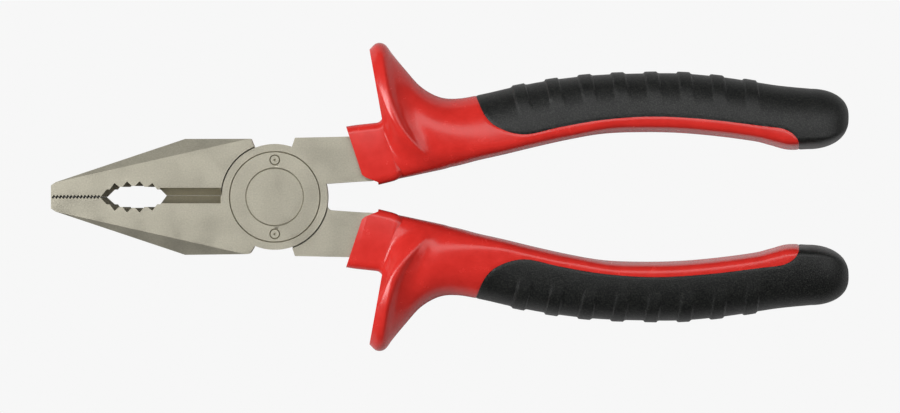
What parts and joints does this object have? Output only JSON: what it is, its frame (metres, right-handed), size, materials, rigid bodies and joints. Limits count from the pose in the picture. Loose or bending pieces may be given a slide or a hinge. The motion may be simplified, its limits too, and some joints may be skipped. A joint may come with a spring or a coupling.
{
  "type": "combination pliers",
  "caption": "Combination pliers with serrated flat jaws, toothed pipe grip, side wire cutter, flush rivet joint and insulated two-colour grips with thumb guards.",
  "frame": {"origin": "on the rivet's axis, at the head's flush rear face", "axes": "+X from the rivet along the closed handles, away from the jaws; +Y across the handles, towards the upper one; +Z along the rivet's axis, out of the head's front face"},
  "size_m": [0.1803, 0.0698, 0.0215],
  "materials": {
    "forged_steel": "satin, fine ground, warm grey",
    "red_plastic": "smooth moulded, satin gloss",
    "black_rubber": "matt, fine-grained soft grip"
  },
  "bodies": {
    "front_lever": {"front_half": "forged_steel", "pivot_rivet": "forged_steel", "upper_inner_sleeve": "red_plastic", "upper_grip_body": "red_plastic", "upper_soft_grip": "black_rubber"},
    "rear_lever": {"rear_half": "forged_steel", "lower_inner_sleeve": "red_plastic", "lower_grip_body": "red_plastic", "lower_soft_grip": "black_rubber"}
  },
  "joints": [
    {"name": "jaw_pivot", "type": "hinge", "parent": "front_lever", "child": "rear_lever", "pos_m": [0, 0, 0.00525], "axis": [0, 0, -1], "range_deg": [0, 40]}
  ]
}
